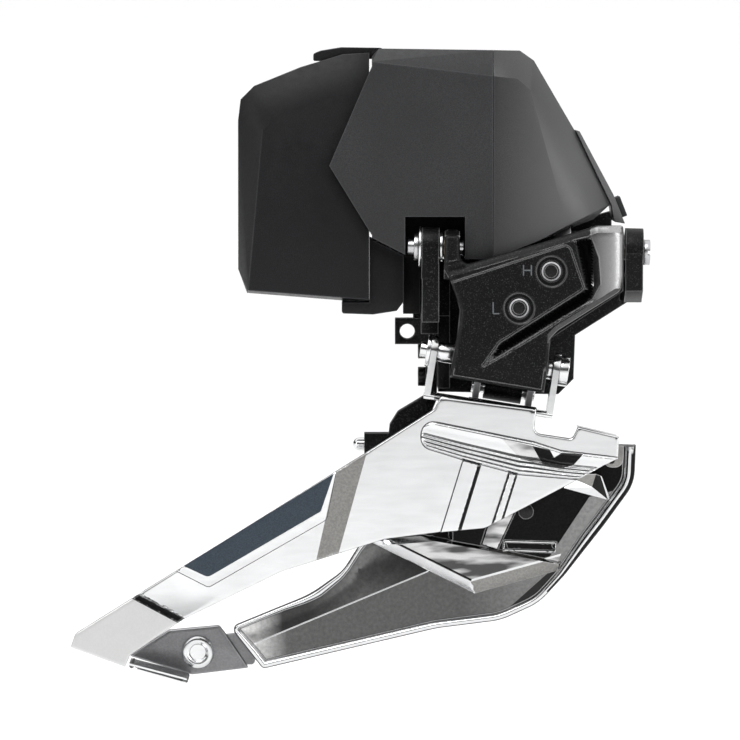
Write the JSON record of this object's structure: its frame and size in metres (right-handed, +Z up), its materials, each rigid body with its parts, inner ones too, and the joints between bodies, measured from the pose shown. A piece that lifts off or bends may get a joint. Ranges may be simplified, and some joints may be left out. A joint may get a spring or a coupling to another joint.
{
  "type": "front derailleur",
  "caption": "Wireless electronic front derailleur for a braze-on hanger: motor module with clip-on battery, parallel links with limit screws, and a stepped steel chain cage.",
  "frame": {"origin": "axis of the threaded hanger hole at the crest of the mounting saddle", "axes": "+X forward on the bicycle, +Z up, -Y outboard towards the chainrings; +Y is the hanger hole's axis, out of its mouth"},
  "size_m": [0.1117, 0.036, 0.1226],
  "materials": {
    "anodised_black": "bead-blasted black anodised forging",
    "dark_plastic": "fine-textured glass-filled nylon, charcoal black",
    "rubber_seal": "soft black",
    "polished_steel": "polished and plated steel",
    "satin_steel": "satin shot-peened steel",
    "black_screw": "blackened steel",
    "bronze": "oil-filled bronze",
    "gold_contact": "gold plated",
    "board": "green solder mask",
    "lens": "clear polycarbonate",
    "gear_nylon": "natural acetal",
    "cell_wrap": "foil pouch",
    "graphite_panel": "graphite blue satin paint"
  },
  "bodies": {
    "root": {"knuckle": "anodised_black", "support_bracket": "anodised_black", "bracket_screws": "black_screw", "upper_pins": "polished_steel", "upper_washers": "polished_steel", "inner_link_pin": "polished_steel", "inner_housing": "dark_plastic", "outer_cover": "dark_plastic", "front_end_cap": "dark_plastic", "housing_seal": "rubber_seal", "housing_screws": "black_screw", "module_screws": "black_screw", "battery_foot": "dark_plastic", "button_panel": "dark_plastic", "led_lens": "lens", "circuit_board": "board", "contact_block": "dark_plastic", "contact_pins": "gold_contact", "motor": "satin_steel", "gearhead": "satin_steel", "gear_plate": "satin_steel", "gear_end_plate": "satin_steel", "idler_shaft": "polished_steel", "latch_pin": "polished_steel", "latch_spring": "polished_steel"},
    "support_screw": {"support_screw": "polished_steel"},
    "button": {"function_button": "dark_plastic"},
    "pinion": {"drive_pinion": "polished_steel"},
    "idler": {"idler_gear": "gear_nylon"},
    "latch": {"latch_lever": "dark_plastic"},
    "battery": {"battery_case": "dark_plastic", "battery_lid": "dark_plastic", "battery_cells": "cell_wrap", "battery_terminals": "gold_contact"},
    "outer_link": {"outer_link": "anodised_black", "sector_gear": "satin_steel", "link_bushings": "bronze"},
    "high_screw": {"limit_screw_high": "black_screw"},
    "low_screw": {"limit_screw_low": "black_screw"},
    "inner_link": {"inner_link": "anodised_black", "inner_link_bushings": "bronze"},
    "cage": {"cage_outer_plate": "polished_steel", "cage_inner_plate": "satin_steel", "cage_front_bridge": "polished_steel", "bridge_rivets": "polished_steel", "tail_bracket": "satin_steel", "tail_rivet": "polished_steel", "cage_panel": "graphite_panel", "cage_pivot_pin": "polished_steel", "cage_spacers": "polished_steel", "cage_link_pin": "polished_steel", "ramp_rivet": "polished_steel"}
  },
  "joints": [
    {"name": "link_swing", "type": "hinge", "parent": "root", "child": "outer_link", "pos_m": [0.0048, -0.029, 0.01925], "axis": [-0.9997, 0, 0.025], "range_deg": [-14, 14]},
    {"name": "cage_pivot", "type": "hinge", "parent": "outer_link", "child": "cage", "pos_m": [-0.002, -0.029, -0.0021], "axis": [-0.9879, 0, 0.1552], "range_deg": [-14, 14]},
    {"name": "inner_link_swing", "type": "hinge", "parent": "root", "child": "inner_link", "pos_m": [0.0048, -0.017, 0.01338], "axis": [-0.9997, 0, 0.025], "range_deg": [-14, 14]},
    {"name": "idler_turn", "type": "hinge", "parent": "root", "child": "idler", "pos_m": [0.00499, -0.01981, 0.02696], "axis": [-0.9997, 0, 0.025], "range_deg": [-42, 42]},
    {"name": "pinion_turn", "type": "hinge", "parent": "root", "child": "pinion", "pos_m": [0.00516, -0.01734, 0.03372], "axis": [-0.9997, 0, 0.025], "range_deg": [-58.8, 58.8]},
    {"name": "high_limit_screw_turn", "type": "hinge", "parent": "outer_link", "child": "high_screw", "pos_m": [0.00875, -0.033, 0.01525], "axis": [0, 1, 0], "range_deg": [-720, 720]},
    {"name": "low_limit_screw_turn", "type": "hinge", "parent": "outer_link", "child": "low_screw", "pos_m": [0.0026, -0.033, 0.0082], "axis": [0, 1, 0], "range_deg": [-720, 720]},
    {"name": "support_screw_turn", "type": "hinge", "parent": "root", "child": "support_screw", "pos_m": [-0.023, -0.0101, -0.0195], "axis": [-1, 0, 0], "range_deg": [-720, 720]},
    {"name": "button_press", "type": "slide", "parent": "root", "child": "button", "axis": [-0.9311, 0, -0.3649], "range_m": [0, 0.0005], "stiffness_N_per_m": 400},
    {"name": "latch_open", "type": "hinge", "parent": "root", "child": "latch", "pos_m": [-0.0242, -0.019, 0.0568], "axis": [0, 1, 0], "range_deg": [0, 70], "stiffness_Nm_per_rad": 0.004},
    {"name": "battery_slide", "type": "slide", "parent": "root", "child": "battery", "axis": [-1, 0, 0], "range_m": [0, 0.02]}
  ],
  "couplings": [
    {"joint": "cage_pivot", "follows": "link_swing", "ratio": -1},
    {"joint": "inner_link_swing", "follows": "link_swing", "ratio": 1},
    {"joint": "idler_turn", "follows": "link_swing", "ratio": -3},
    {"joint": "pinion_turn", "follows": "link_swing", "ratio": 4.2}
  ]
}
